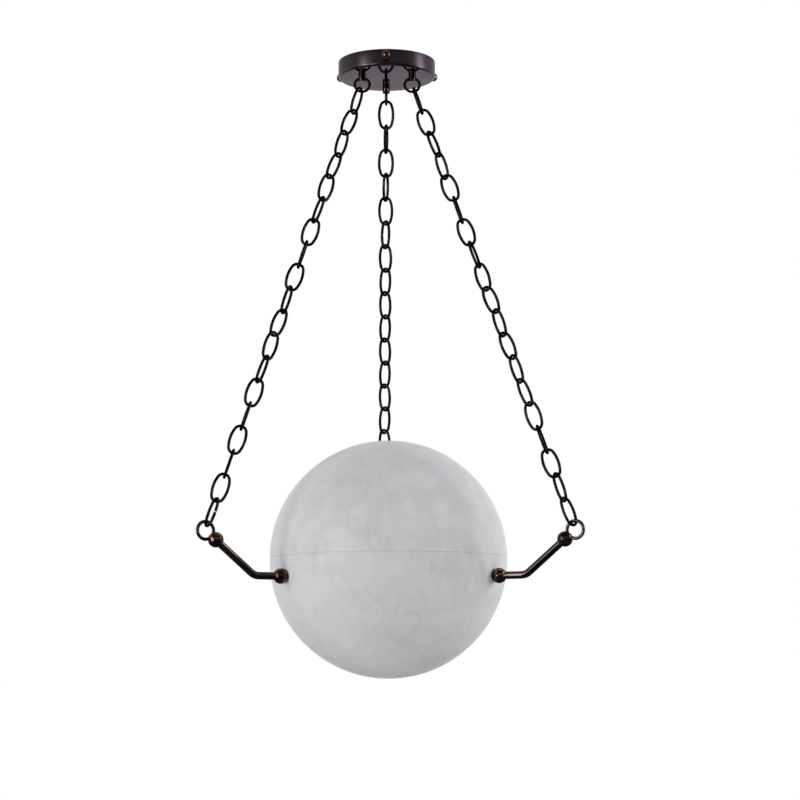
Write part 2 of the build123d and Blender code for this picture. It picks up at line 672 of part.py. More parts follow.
def all_pieces():
    """Every piece by its node's name."""
    pieces = {
        "canopy": make_canopy(),
        "ceiling_bracket": make_ceiling_bracket(),
        "canopy_screws": Compound([around(make_canopy_screw(), turn).solid() for turn in SCREW_TURNS]),
        "terminal_block": make_terminal_block(),
        "lower_bowl": make_lower_bowl(),
        "upper_dome": make_upper_dome(),
        "lamp_spider": make_spider(),
        "holder_tube": make_holder_tube(),
        "holder_tube_nut": make_tube_nut(),
        "lampholder": make_lampholder(),
        "lampholder_ring": make_holder_ring(),
        "bulb_cap": make_bulb_cap(),
        "bulb_glass": make_bulb_glass(),
    }
    post_nut = nut(STEM_NUT_ACROSS, STEM_NUT_HEIGHT, STEM_DIAMETER + 2 * FIT_GAP)
    post_nut = Pos(0, 0, canopy_floor_top) * post_nut
    post_nuts = []
    shared = {
        "arm_studs": make_stud(),
        "stud_washers": make_stud_washer(),
        "stud_nuts": make_stud_nut(),
    }
    arm = {
        "eye": make_eye(),
        "outer_ball": make_outer_ball(),
        "arm_rod": make_arm_rod(),
        "inner_ball": make_inner_ball(),
        "outer_gasket": make_outer_gasket(),
        "inner_gasket": make_inner_gasket(),
    }
    for side, turn in SIDES.items():
        place = post_place(side)
        hole_turn = 90 if side == "back" else 0
        pieces[f"{side}_hook_post"] = Pos(place.X, place.Y, 0) * make_hook_post(hole_turn)
        post_nuts.append((Pos(place.X, place.Y, 0) * post_nut).solid())
        pieces[f"{side}_ring"] = make_ring(side)
        for name, shape in arm.items():
            pieces[f"{side}_{name}"] = around(shape, turn)
    pieces["post_nuts"] = Compound(post_nuts)
    for name, shape in shared.items():
        pieces[name] = Compound([around(shape, turn).solid() for turn in SIDES.values()])
    for side in ("left", "right"):
        links = make_links(side, range(1, LINK_COUNT + 1))
        pieces[f"{side}_chain"] = Compound([link.solid() for link in links])
    # the back chain's last link is a piece of its own, because the globe turns on it
    pieces["back_chain"] = Compound([link.solid() for link in make_links("back", range(1, LINK_COUNT))])
    pieces["back_end_link"] = make_links("back", [LINK_COUNT])[0]
    return pieces


os.makedirs("parts", exist_ok=True)
for node, piece in all_pieces().items():
    export_step(piece, f"parts/{node}.step")
print(f"seam at {globe_z + SEAM_ABOVE_CENTRE:.1f}, globe's lowest point at {globe_z - globe_radius:.1f}")
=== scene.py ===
import json
import math

import bmesh
import bpy
from mathutils import Matrix, Vector


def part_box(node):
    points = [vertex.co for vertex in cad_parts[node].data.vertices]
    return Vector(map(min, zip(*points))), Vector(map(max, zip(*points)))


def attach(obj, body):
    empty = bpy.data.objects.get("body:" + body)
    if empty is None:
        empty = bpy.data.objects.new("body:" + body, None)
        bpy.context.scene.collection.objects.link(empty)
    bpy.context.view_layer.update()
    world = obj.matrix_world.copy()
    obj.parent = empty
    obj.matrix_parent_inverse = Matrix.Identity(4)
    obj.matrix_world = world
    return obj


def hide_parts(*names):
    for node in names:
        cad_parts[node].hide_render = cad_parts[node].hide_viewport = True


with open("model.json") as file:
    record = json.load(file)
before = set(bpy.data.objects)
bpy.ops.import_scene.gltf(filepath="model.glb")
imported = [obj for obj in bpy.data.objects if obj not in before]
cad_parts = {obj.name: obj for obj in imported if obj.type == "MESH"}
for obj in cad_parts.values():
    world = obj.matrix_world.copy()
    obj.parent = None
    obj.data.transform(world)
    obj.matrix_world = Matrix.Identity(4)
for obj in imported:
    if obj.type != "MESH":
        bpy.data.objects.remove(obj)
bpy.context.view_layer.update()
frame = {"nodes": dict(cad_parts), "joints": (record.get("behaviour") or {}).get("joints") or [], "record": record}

# Pendant light of alabaster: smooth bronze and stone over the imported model, in metres

MM = 0.001
QUARTER_TURN = math.pi / 2
FULL_TURN = 2 * math.pi

# Headings of the three arms and chains, in degrees
SIDES = {"left": 210.0, "right": -30.0, "back": 90.0}

# Canopy
CANOPY_RADIUS = 62.5 * MM
CANOPY_HEIGHT = 21.0 * MM
CANOPY_WALL = 1.5 * MM
CANOPY_RIM = 3.2 * MM
CANOPY_TOP_EDGE = 0.3 * MM
# Loops that keep its flat faces evenly shaded
UNDERSIDE_LOOPS = (20.0 * MM, 45.0 * MM)
INSIDE_LOOP = 30.0 * MM
# Heights of the painted highlight along its lower edge, which is paler metal there
RIM_HIGHLIGHT_LOW = -20.3 * MM
RIM_HIGHLIGHT_MIDDLE = -18.9 * MM
RIM_HIGHLIGHT_HIGH = -18.0 * MM

# Ball screws in the canopy's side
SCREW_COUNT = 3
SCREW_FIRST_TURN = math.radians(-92.0)
SCREW_DROP = 9.8 * MM
SCREW_BALL = 5.5 * MM
SCREW_COLLAR = 3.5 * MM
SCREW_THREAD = 2.0 * MM
SCREW_STANDOFF = 7.5 * MM
SCREW_TAIL_RADIUS = 54.5 * MM
SCREW_SEAT_GAP = 0.15 * MM

# Rings and chains
RING_MEAN = 9.55 * MM
RING_WIRE = 1.75 * MM
LINK_COUNT = 19
LINK_HALF_LENGTH = 17.85 * MM
LINK_HALF_WIDTH = 9.15 * MM
LINK_END = 7.5 * MM
LINK_WIRE = 1.85 * MM
LINK_SLIT = 0.4 * MM
OPENED_SLIT = 1.4 * MM
LINK_INNER = 32.0 * MM
RING_TO_LINK = 7.5 * MM
EYE_TO_LINK = 7.6 * MM
# Each link is turned a quarter from the last one
LINK_TURN = 90.0
# Further turns of some links, as (number from the ring, degrees), evened out over the links between them
TWISTS = {
    "left": (
        (1, 27.0), (3, 37.0), (6, 65.0), (7, 88.0), (9, 92.0), (14, 170.0), (18, 178.0), (LINK_COUNT, 332.0),
    ),
    "right": (
        (1, 0.0), (2, 5.0), (5, 89.0), (7, 92.0), (10, 150.0), (13, 150.0), (17, 90.0), (LINK_COUNT, 47.0),
    ),
    "back": ((1, 9.0), (3, 12.0), (8, 45.0), (16, 45.0), (LINK_COUNT, 0.0)),
}

# Arms
BALL = 9.5 * MM
BALL_FLAT = 7.6 * MM
ROD = 4.7 * MM
BEND_FROM_AXIS = 190.0 * MM
BEND_RADIUS = 17.0 * MM
ARM_RISE = math.radians(38.5)
ARM_SLANT = 67.0 * MM
ROD_SOCKET = 5.5 * MM
EYE_MEAN = 10.65 * MM
EYE_WIRE = 2.15 * MM
EYE_FROM_BALL = 17.5 * MM

# Globe
GLOBE = 149.0 * MM
STONE_WALL = 11.0 * MM
SEAM_RISE = 1.6 * MM
SEAM_EDGE = 0.15 * MM
SEAM_GAP = 0.1 * MM
LAP_HEIGHT = 5.0 * MM
LAP_THICKNESS = 5.2 * MM
LAP_GAP = 0.5 * MM
STUD_BELOW_CENTRE = 24.5 * MM
BALL_FROM_STONE = 7.0 * MM
BALL_SEAT = 7.9 * MM
BALL_SEAT_DEPTH = 2.6 * MM
STUD_HOLE = 4.5 * MM

# Fineness of the meshes
TURNED_SEGMENTS = 160
SCREW_SEGMENTS = 40
BALL_SEGMENTS = 56
SEAT_SEGMENTS = 64
RING_SEGMENTS = 72
RING_SIDES = 20
LINK_SIDES = 14
ROD_SIDES = 36
ON_AXIS = 1e-9
SAME_POINT = 1e-7
SAME_FACET_POINT = 1e-6
EDGE_ANGLE = math.radians(32)
FACET_ANGLE = math.radians(30)

# The photograph's camera, from a fit to the light's main points; its frame is 800 pixels wide
CAMERA_PLACE = (0.0, -2.7028, -0.7887)
CAMERA_TURN = math.radians(1.336)
CAMERA_HEADING = math.radians(0.3245)
CAMERA_TILT = math.radians(7.344)
CAMERA_ROLL = math.radians(0.243)
CAMERA_REACH = 100.0
FOCAL_PIXELS = 2147.8
FRAME_PIXELS = 800.0
SENSOR_WIDTH = 36.0

# Room round the light: brightest behind it and a little to the right
LAMP_DISTANCE = 2.5
BRIGHT_SIDE = (0.45, 0.88, 0.1)
LIT_FRONT = 0.46
LIT_BACK = 0.89
# As metal mirrors it: dark on the camera's side, with a paler strip above the camera
MIRRORED_FRONT = 0.06
MIRRORED_STRIP = 0.4
STRIP_START = (0.06, 0.2)
STRIP_END = (0.38, 0.58)
FRONT_TO_BACK = (-0.45, 0.8)

# Floor
FLOOR_HEIGHT = -1.5
FLOOR_HALF = 2.5
FLOOR_TONE = (0.62, 0.66)
FLOOR_CLOUDS = 3.0
FLOOR_LIFT = 0.36
FLOOR_FADE = (1.0, 2.4)
FLOOR_MIRRORED = (0.1, 1.0)
FLOOR_MIRRORED_REACH = (0.5, 2.4)

pivots = {joint["name"]: Vector(joint["pos_m"]) for joint in frame["joints"] if "pos_m" in joint}
ring_pivot = {
    "left": pivots["left_ring_swing"], "right": pivots["right_ring_swing"], "back": pivots["sway_side"],
}
ring_centre = {
    "left": pivots["left_chain_swing"], "right": pivots["right_chain_swing"], "back": pivots["sway_front"],
}
back_eye = pivots["back_eye_turn"]
globe_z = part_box("lower_bowl")[0].z + GLOBE
stud_z = globe_z - STUD_BELOW_CENTRE
along_x = Matrix.Rotation(QUARTER_TURN, 4, "Y")


def arm_frame(side):
    """Turns what is made in the XZ plane, with X outwards, to one arm."""
    return Matrix.Rotation(math.radians(SIDES[side]), 4, "Z")


eye_centre = {side: arm_frame(side) @ Vector((back_eye.y, 0, back_eye.z)) for side in SIDES}


# Node trees

def new_group(name, kind, inputs, outputs):
    """A node group, with the sockets that give its inputs and take its outputs inside."""
    group = bpy.data.node_groups.new(name, kind)
    for label, socket, value in inputs:
        made = group.interface.new_socket(label, in_out="INPUT", socket_type=socket)
        if value is not None:
            made.default_value = value
    for label, socket in outputs:
        group.interface.new_socket(label, in_out="OUTPUT", socket_type=socket)
    return group, group.nodes.new("NodeGroupInput").outputs, group.nodes.new("NodeGroupOutput").inputs


def add(tree, kind, links=None, **settings):
    """A node with its settings; links map an input's name or number to an output socket or a value."""
    node = tree.nodes.new(kind)
    for key, value in settings.items():
        setattr(node, key, value)
    for key, value in (links or {}).items():
        socket = node.inputs[key]
        if isinstance(value, bpy.types.NodeSocket):
            tree.links.new(value, socket)
        else:
            socket.default_value = value
    return node


def noise(tree, vector, scale, detail=3.0, roughness=0.5, distortion=0.0):
    node = add(tree, "ShaderNodeTexNoise", {
        "Vector": vector, "Scale": scale, "Detail": detail, "Roughness": roughness, "Distortion": distortion,
    })
    return node.outputs["Fac"]


def remap(tree, value, low, high, new_low=0.0, new_high=1.0):
    """A soft step from one range to another."""
    node = add(tree, "ShaderNodeMapRange", {
        "Value": value, "From Min": low, "From Max": high, "To Min": new_low, "To Max": new_high,
    }, interpolation_type="SMOOTHSTEP")
    return node.outputs["Result"]


def math_node(tree, operation, a, b=0.0):
    return add(tree, "ShaderNodeMath", {0: a, 1: b}, operation=operation).outputs[0]


def vector_node(tree, operation, a, b, result="Vector"):
    return add(tree, "ShaderNodeVectorMath", {0: a, 1: b}, operation=operation).outputs[result]


def mix_value(tree, factor, a, b):
    return add(tree, "ShaderNodeMix", {0: factor, 2: a, 3: b}, data_type="FLOAT").outputs[0]


def mix_colour(tree, factor, a, b, blend="MIX"):
    node = add(tree, "ShaderNodeMix", {0: factor, 6: a, 7: b}, data_type="RGBA", blend_type=blend)
    return node.outputs[2]


def grey(tree, value):
    return add(tree, "ShaderNodeCombineColor", {0: value, 1: value, 2: value}).outputs[0]


def surface_place(tree):
    return add(tree, "ShaderNodeTexCoord").outputs["Object"]


def axes_of(tree, vector):
    return add(tree, "ShaderNodeSeparateXYZ", {0: vector}).outputs


# Finishes

LOOK = (("Color", "NodeSocketColor"), ("Roughness", "NodeSocketFloat"), ("Height", "NodeSocketFloat"))


def patina_group():
    """Dark bronze rubbed unevenly: brown where it is rubbed, darker and duller in between."""
    tree, given, out = new_group("rubbed_patina", "ShaderNodeTree", (
        ("Dark", "NodeSocketColor", (0.03, 0.02, 0.02, 1)),
        ("Rubbed", "NodeSocketColor", (0.1, 0.05, 0.03, 1)),
        ("Cloud scale", "NodeSocketFloat", 40.0),
        ("Rub amount", "NodeSocketFloat", 0.5),
        ("Gloss", "NodeSocketFloat", 0.2),
        ("Gloss change", "NodeSocketFloat", 0.08),
    ), LOOK)
    place = surface_place(tree)
    cloud_noise = noise(tree, place, given["Cloud scale"], detail=4.0, roughness=0.55, distortion=0.4)
    clouds = remap(tree, cloud_noise, 0.38, 0.68)
    fine_scale = math_node(tree, "MULTIPLY", given["Cloud scale"], 9.0)
    fine = noise(tree, place, fine_scale, roughness=0.6)
    rub = math_node(tree, "MULTIPLY", clouds, given["Rub amount"])
    colour = mix_colour(tree, rub, given["Dark"], given["Rubbed"])
    specks = grey(tree, remap(tree, fine, 0.3, 0.7, 0.9, 1.08))
    tree.links.new(mix_colour(tree, 1.0, colour, specks, "MULTIPLY"), out["Color"])
    dull = math_node(tree, "SUBTRACT", 1.0, clouds)
    change = math_node(tree, "MULTIPLY", dull, given["Gloss change"])
    fine_change = remap(tree, fine, 0.3, 0.7, -0.01, 0.015)
    rough = math_node(tree, "ADD", math_node(tree, "ADD", given["Gloss"], change), fine_change)
    tree.links.new(rough, out["Roughness"])
    tree.links.new(fine, out["Height"])
    return tree


def stone_group():
    """Cloudy alabaster: milky clouds and patches, upright streaks, warm stains and short veins."""
    tree, given, out = new_group("alabaster_clouds", "ShaderNodeTree", (
        ("Pale", "NodeSocketColor", (0.56, 0.56, 0.57, 1)),
        ("Milky", "NodeSocketColor", (0.64, 0.645, 0.67, 1)),
        ("Warm", "NodeSocketColor", (0.52, 0.5, 0.46, 1)),
        ("Cloud scale", "NodeSocketFloat", 9.0),
        ("Streak amount", "NodeSocketFloat", 0.3),
        ("Vein amount", "NodeSocketFloat", 0.25),
    ), LOOK)
    place = surface_place(tree)
    scale = given["Cloud scale"]
    bend = add(tree, "ShaderNodeTexNoise", {"Vector": place, "Scale": scale, "Detail": 2.0})
    shift = vector_node(tree, "MULTIPLY", bend.outputs["Color"], (0.07, 0.07, 0.05))
    bent = vector_node(tree, "ADD", place, shift)
    upright = add(tree, "ShaderNodeMapping", {"Vector": bent, "Scale": (1.0, 1.0, 0.16)}).outputs[0]

    def layer(vector, times, low, high, detail=4.0):
        layer_scale = math_node(tree, "MULTIPLY", scale, times)
        return remap(tree, noise(tree, vector, layer_scale, detail, roughness=0.6), low, high)

    clouds = layer(bent, 1.0, 0.4, 0.66)
    patches = layer(bent, 5.0, 0.46, 0.72)
    streaks = layer(upright, 15.0, 0.36, 0.7, detail=3.0)
    stains = layer(bent, 2.2, 0.5, 0.74)
    warm_streaks = layer(upright, 11.0, 0.52, 0.76, detail=3.0)
    few = layer(bent, 3.1, 0.52, 0.7, detail=2.0)
    fold = noise(tree, bent, math_node(tree, "MULTIPLY", scale, 1.3), distortion=0.6)
    ridge = math_node(tree, "ABSOLUTE", math_node(tree, "SUBTRACT", fold, 0.5))
    veins = math_node(tree, "MULTIPLY", remap(tree, ridge, 0.0, 0.035, 1.0, 0.0), few)
    colour = given["Pale"]
    for amount, share, tint in (
        (clouds, 0.5, "Milky"),
        (patches, 0.55, "Milky"),
        (stains, 0.45, "Warm"),
        (streaks, given["Streak amount"], "Milky"),
        (warm_streaks, given["Streak amount"], "Warm"),
        (veins, given["Vein amount"], "Warm"),
    ):
        colour = mix_colour(tree, math_node(tree, "MULTIPLY", amount, share), colour, given[tint])
    tree.links.new(colour, out["Color"])
    tree.links.new(remap(tree, clouds, 0.0, 1.0, 0.36, 0.46), out["Roughness"])
    tree.links.new(patches, out["Height"])
    return tree


def grain_group():
    """Small change of shade and gloss for plated, moulded and glazed pieces."""
    tree, given, out = new_group("fine_grain", "ShaderNodeTree", (
        ("Color", "NodeSocketColor", (0.5, 0.5, 0.5, 1)),
        ("Grain scale", "NodeSocketFloat", 300.0),
        ("Shade change", "NodeSocketFloat", 0.12),
        ("Gloss", "NodeSocketFloat", 0.35),
    ), LOOK)
    place = surface_place(tree)
    fine = noise(tree, place, given["Grain scale"], detail=4.0, roughness=0.6)
    broad = noise(tree, place, math_node(tree, "MULTIPLY", given["Grain scale"], 0.12), detail=2.0)
    both = math_node(tree, "MULTIPLY", math_node(tree, "ADD", fine, broad), 0.5)
    change = math_node(tree, "MULTIPLY", math_node(tree, "SUBTRACT", both, 0.5), given["Shade change"])
    shade = grey(tree, math_node(tree, "ADD", 1.0, math_node(tree, "MULTIPLY", change, 4.0)))
    tree.links.new(mix_colour(tree, 1.0, given["Color"], shade, "MULTIPLY"), out["Color"])
    tree.links.new(math_node(tree, "ADD", given["Gloss"], change), out["Roughness"])
    tree.links.new(fine, out["Height"])
    return tree


def finish_of(name, group, bump, bump_depth, values, sockets):
    """A material whose colour, gloss and bump come from one of the groups."""
    material = bpy.data.materials.new(name)
    material.use_nodes = True
    tree = material.node_tree
    shader = tree.nodes["Principled BSDF"]
    for key, value in sockets.items():
        shader.inputs[key].default_value = value
    look = add(tree, "ShaderNodeGroup", node_tree=group, name="look")
    for key, value in values.items():
        look.inputs[key].default_value = value
    tree.links.new(look.outputs["Color"], shader.inputs["Base Color"])
    tree.links.new(look.outputs["Roughness"], shader.inputs["Roughness"])
    raised = add(tree, "ShaderNodeBump", {
        "Height": look.outputs["Height"], "Strength": bump, "Distance": bump_depth,
    })
    tree.links.new(raised.outputs["Normal"], shader.inputs["Normal"])
    return material


def polish_by_height(material, low, high, low_gloss, high_gloss):
    """A gloss that changes between two heights, as on a cup polished underneath and brushed on its side."""
    tree = material.node_tree
    height = axes_of(tree, surface_place(tree))["Z"]
    gloss = remap(tree, height, low, high, low_gloss, high_gloss)
    tree.links.new(gloss, tree.nodes["look"].inputs["Gloss"])


def painted_rim_highlight(material, colour, low, middle, high):
    """A painted highlight: paler metal along a round edge, strongest at its middle height."""
    tree = material.node_tree
    height = axes_of(tree, surface_place(tree))["Z"]
    rising = remap(tree, height, low, middle)
    falling = remap(tree, height, middle, high, 1.0, 0.0)
    amount = math_node(tree, "MULTIPLY", rising, falling)
    highlighted = mix_colour(tree, amount, tree.nodes["look"].outputs["Color"], colour)
    tree.links.new(highlighted, tree.nodes["Principled BSDF"].inputs["Base Color"])


patina, stone, grain = patina_group(), stone_group(), grain_group()

canopy_bronze = finish_of(
    "canopy_bronze", patina, bump=0.01, bump_depth=0.1 * MM,
    values={
        "Dark": (0.05, 0.042, 0.05, 1), "Rubbed": (0.075, 0.064, 0.073, 1), "Cloud scale": 22.0,
        "Rub amount": 0.6, "Gloss change": 0.03,
    },
    sockets={"Metallic": 1.0, "Specular Tint": (0.66, 0.63, 0.66, 1)},
)
polish_by_height(canopy_bronze, -CANOPY_HEIGHT, CANOPY_RIM - CANOPY_HEIGHT, low_gloss=0.04, high_gloss=0.3)
# Painted highlight along the canopy's round lower edge: paler metal at the rim's middle height
painted_rim_highlight(canopy_bronze, (0.11, 0.088, 0.085, 1), RIM_HIGHLIGHT_LOW, RIM_HIGHLIGHT_MIDDLE, RIM_HIGHLIGHT_HIGH)

chain_bronze = finish_of(
    "chain_bronze", patina, bump=0.02, bump_depth=0.2 * MM,
    values={
        "Dark": (0.008, 0.009, 0.0075, 1), "Rubbed": (0.065, 0.052, 0.041, 1), "Cloud scale": 60.0,
        "Rub amount": 0.7, "Gloss": 0.27, "Gloss change": 0.06,
    },
    sockets={"Metallic": 1.0, "Specular Tint": (0.06, 0.06, 0.06, 1)},
)

arm_bronze = finish_of(
    "arm_bronze", patina, bump=0.01, bump_depth=0.2 * MM,
    values={
        "Dark": (0.006, 0.005, 0.005, 1), "Rubbed": (0.145, 0.092, 0.075, 1), "Cloud scale": 30.0,
        "Rub amount": 0.7, "Gloss": 0.11, "Gloss change": 0.04,
    },
    sockets={
        "Metallic": 1.0, "Specular Tint": (0.2, 0.18, 0.17, 1), "Coat Weight": 0.8, "Coat Roughness": 0.05,
    },
)

ball_bronze = finish_of(
    "ball_bronze", patina, bump=0.01, bump_depth=0.2 * MM,
    values={
        "Dark": (0.012, 0.0065, 0.005, 1), "Rubbed": (0.34, 0.155, 0.095, 1), "Cloud scale": 75.0,
        "Rub amount": 0.68, "Gloss": 0.05, "Gloss change": 0.03,
    },
    sockets={
        "Metallic": 1.0, "Specular Tint": (0.3, 0.22, 0.18, 1), "Coat Weight": 0.5, "Coat Roughness": 0.03,
        "Coat Tint": (1.0, 0.9, 0.82, 1),
    },
)

alabaster = finish_of(
    "alabaster", stone, bump=0.04, bump_depth=0.5 * MM,
    values={
        "Pale": (0.54, 0.545, 0.556, 1), "Milky": (0.632, 0.643, 0.676, 1), "Warm": (0.487, 0.482, 0.457, 1),
        "Cloud scale": 9.0, "Streak amount": 0.3, "Vein amount": 0.5,
    },
    sockets={
        "Specular IOR Level": 0.12, "Subsurface Weight": 0.12, "Subsurface Scale": 0.6,
        "Subsurface Radius": (0.012, 0.01, 0.009),
    },
)

plated_steel = finish_of(
    "plated_steel", grain, bump=0.08, bump_depth=0.1 * MM,
    values={"Color": (0.5, 0.5, 0.47, 1), "Grain scale": 700.0, "Shade change": 0.12, "Gloss": 0.32},
    sockets={"Metallic": 1.0},
)

gasket_rubber = finish_of(
    "gasket_rubber", grain, bump=0.15, bump_depth=0.2 * MM,
    values={"Color": (0.5, 0.5, 0.49, 1), "Grain scale": 900.0, "Shade change": 0.06, "Gloss": 0.55},
    sockets={"Specular IOR Level": 0.3},
)

terminal_plastic = finish_of(
    "terminal_plastic", grain, bump=0.1, bump_depth=0.1 * MM,
    values={"Color": (0.72, 0.7, 0.64, 1), "Grain scale": 500.0, "Shade change": 0.06, "Gloss": 0.5},
    sockets={},
)

porcelain = finish_of(
    "porcelain", grain, bump=0.03, bump_depth=0.2 * MM,
    values={"Color": (0.78, 0.77, 0.73, 1), "Grain scale": 160.0, "Shade change": 0.05, "Gloss": 0.16},
    sockets={"Coat Weight": 0.5, "Coat Roughness": 0.08},
)

holder_plastic = finish_of(
    "holder_plastic", grain, bump=0.08, bump_depth=0.1 * MM,
    values={"Color": (0.7, 0.69, 0.66, 1), "Grain scale": 450.0, "Shade change": 0.06, "Gloss": 0.42},
    sockets={},
)

cap_metal = finish_of(
    "cap_metal", grain, bump=0.06, bump_depth=0.1 * MM,
    values={"Color": (0.62, 0.6, 0.56, 1), "Grain scale": 800.0, "Shade change": 0.12, "Gloss": 0.25},
    sockets={"Metallic": 1.0},
)

opal_glass = finish_of(
    "opal_glass", grain, bump=0.02, bump_depth=0.2 * MM,
    values={"Color": (0.86, 0.86, 0.84, 1), "Grain scale": 60.0, "Shade change": 0.03, "Gloss": 0.22},
    sockets={"Coat Weight": 0.4, "Coat Roughness": 0.06},
)

MATERIALS = {
    "canopy_bronze": canopy_bronze, "chain_bronze": chain_bronze, "arm_bronze": arm_bronze,
    "ball_bronze": ball_bronze, "alabaster": alabaster, "plated_steel": plated_steel,
    "gasket_rubber": gasket_rubber, "terminal_plastic": terminal_plastic, "porcelain": porcelain,
    "holder_plastic": holder_plastic, "cap_metal": cap_metal, "bulb_glass": opal_glass,
}


# Mesh making

def add_object(name, data):
    made = bpy.data.objects.new(name, data)
    bpy.context.scene.collection.objects.link(made)
    return made


def close_up(mesh):
    """Joins doubled points and turns all faces outwards."""
    form = bmesh.new()
    form.from_mesh(mesh)
    bmesh.ops.remove_doubles(form, verts=form.verts, dist=SAME_POINT)
    bmesh.ops.recalc_face_normals(form, faces=form.faces)
    form.to_mesh(mesh)
    form.free()


def piece(name, mesh, slot, body, node):
    """A finished mesh as a piece of the light: smooth but for its edges, on a body, in place of a node."""
    close_up(mesh)
    mesh.shade_smooth()
    mesh.set_sharp_from_angle(angle=EDGE_ANGLE)
    mesh.materials.clear()
    mesh.materials.append(MATERIALS[slot])
    made = add_object(name, mesh)
    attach(made, body)
    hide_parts(node)


def mesh_of(name, verts, faces, place=None):
    """A mesh of points and faces, moved to its place."""
    mesh = bpy.data.meshes.new(name)
    mesh.from_pydata([tuple(v) for v in verts], [], faces)
    if place is not None:
        mesh.transform(place)
    mesh.update()
    return mesh


def arc(centre, radius, start, end, steps):
    """Points of a profile on a round, from one angle to another."""
    angles = [start + (end - start) * i / steps for i in range(steps + 1)]
    return [(centre[0] + radius * math.cos(a), centre[1] + radius * math.sin(a)) for a in angles]


def lathe(profile, segments):
    """Vertices and faces of a closed profile of (radius, height) turned about Z."""
    verts, faces, rows = [], [], []
    for radius, height in profile:
        if radius < ON_AXIS:
            rows.append([len(verts)] * segments)
            verts.append((0, 0, height))
            continue
        rows.append(list(range(len(verts), len(verts) + segments)))
        for i in range(segments):
            turn = FULL_TURN * i / segments
            verts.append((radius * math.cos(turn), radius * math.sin(turn), height))
    for low, high in zip(rows, rows[1:] + rows[:1]):
        for i in range(segments):
            j = (i + 1) % segments
            corners = [low[i], low[j], high[j], high[i]]
            face = [c for n, c in enumerate(corners) if c not in corners[:n]]
            if len(face) > 2:
                faces.append(face)
    return verts, faces


def wire_ring(mean, wire):
    """A ring of round wire about Z."""
    return lathe(arc((mean, 0), wire, 0, FULL_TURN, RING_SIDES)[:-1], RING_SEGMENTS)


def evaluated_mesh(thing):
    """A plain mesh of an object with its modifiers applied."""
    graph = bpy.context.evaluated_depsgraph_get()
    return bpy.data.meshes.new_from_object(thing.evaluated_get(graph))


def tree_mesh(name, tree, seed, inputs):
    """The plain mesh that a node tree makes from a seed mesh, with the tree's inputs given by their names."""
    holder = add_object(name + "_seed", seed)
    modifier = holder.modifiers.new("growth", "NODES")
    modifier.node_group = tree
    ids = {item.name: item.identifier for item in tree.interface.items_tree if item.in_out == "INPUT"}
    for label, value in inputs.items():
        modifier[ids[label]] = value
    made = evaluated_mesh(holder)
    holder.modifiers.remove(modifier)
    bpy.data.objects.remove(holder)
    bpy.data.meshes.remove(seed)
    made.name = name
    return made


def end_tree(tree, geometry, finish, result):
    """Ends a tree with real faces and their finish."""
    real = add(tree, "GeometryNodeRealizeInstances", {"Geometry": geometry})
    finished = add(tree, "GeometryNodeSetMaterial", {"Geometry": real.outputs[0], "Material": finish})
    tree.links.new(finished.outputs[0], result)


def given_object(tree, socket):
    """The shape of an object that is given to a tree, in the object's own frame."""
    node = add(tree, "GeometryNodeObjectInfo", {"Object": socket}, transform_space="ORIGINAL")
    return node.outputs["Geometry"]


def turned_about(tree, axis, angle):
    return add(tree, "FunctionNodeAxisAngleToRotation", {"Axis": axis, "Angle": angle}).outputs[0]


def turned_within(tree, rotation, further):
    """One rotation followed by another about the axes that it turned."""
    node = add(tree, "FunctionNodeRotateRotation", {"Rotation": rotation, "Rotate By": further},
               rotation_space="LOCAL")
    return node.outputs[0]


def round_bar(tree, path, radius, sides):
    """A bar or wire of even thickness along a curve, closed at both ends."""
    section = add(tree, "GeometryNodeCurvePrimitiveCircle", {"Resolution": sides, "Radius": radius})
    node = add(tree, "GeometryNodeCurveToMesh", {
        "Curve": path, "Profile Curve": section.outputs["Curve"], "Fill Caps": True,
    })
    return node.outputs["Mesh"]


def path_object(name, points):
    """A curve through points (x, z) of the XZ plane, for a tree to follow."""
    curve = bpy.data.curves.new(name, "CURVE")
    curve.dimensions = "3D"
    spline = curve.splines.new("POLY")
    spline.points.add(len(points) - 1)
    for point, (x, z) in zip(spline.points, points):
        point.co = (x, 0, z, 1)
    return add_object(name, curve)


# Canopy and its screws

def canopy_profile():
    """A cup with its open side up, against the ceiling at height 0."""
    inner = CANOPY_RADIUS - CANOPY_WALL
    inner_rim = CANOPY_RIM - CANOPY_WALL
    inner_floor = CANOPY_WALL - CANOPY_HEIGHT
    rim_centre = (CANOPY_RADIUS - CANOPY_RIM, CANOPY_RIM - CANOPY_HEIGHT)
    edge_centre = (CANOPY_RADIUS - CANOPY_TOP_EDGE, -CANOPY_TOP_EDGE)
    inner_rim_centre = (inner - inner_rim, inner_floor + inner_rim)
    return (
        [(radius, -CANOPY_HEIGHT) for radius in (0, *UNDERSIDE_LOOPS)]
        + arc(rim_centre, CANOPY_RIM, -QUARTER_TURN, 0, steps=10)
        + arc(edge_centre, CANOPY_TOP_EDGE, 0, QUARTER_TURN, steps=3)
        + [(inner, 0)]
        + arc(inner_rim_centre, inner_rim, 0, -QUARTER_TURN, steps=6)
        + [(INSIDE_LOOP, inner_floor), (0, inner_floor)]
    )


def screw_profile():
    """Thread, collar and ball along Z, with the canopy's axis at height 0."""
    seat = CANOPY_RADIUS + SCREW_SEAT_GAP
    ball_centre = (0, CANOPY_RADIUS + SCREW_STANDOFF)
    ball_start = -math.acos(SCREW_COLLAR / SCREW_BALL)
    return [
        (0, SCREW_TAIL_RADIUS),
        (SCREW_THREAD, SCREW_TAIL_RADIUS),
        (SCREW_THREAD, seat),
        (SCREW_COLLAR, seat),
        *arc(ball_centre, SCREW_BALL, ball_start, QUARTER_TURN, steps=28),
    ]


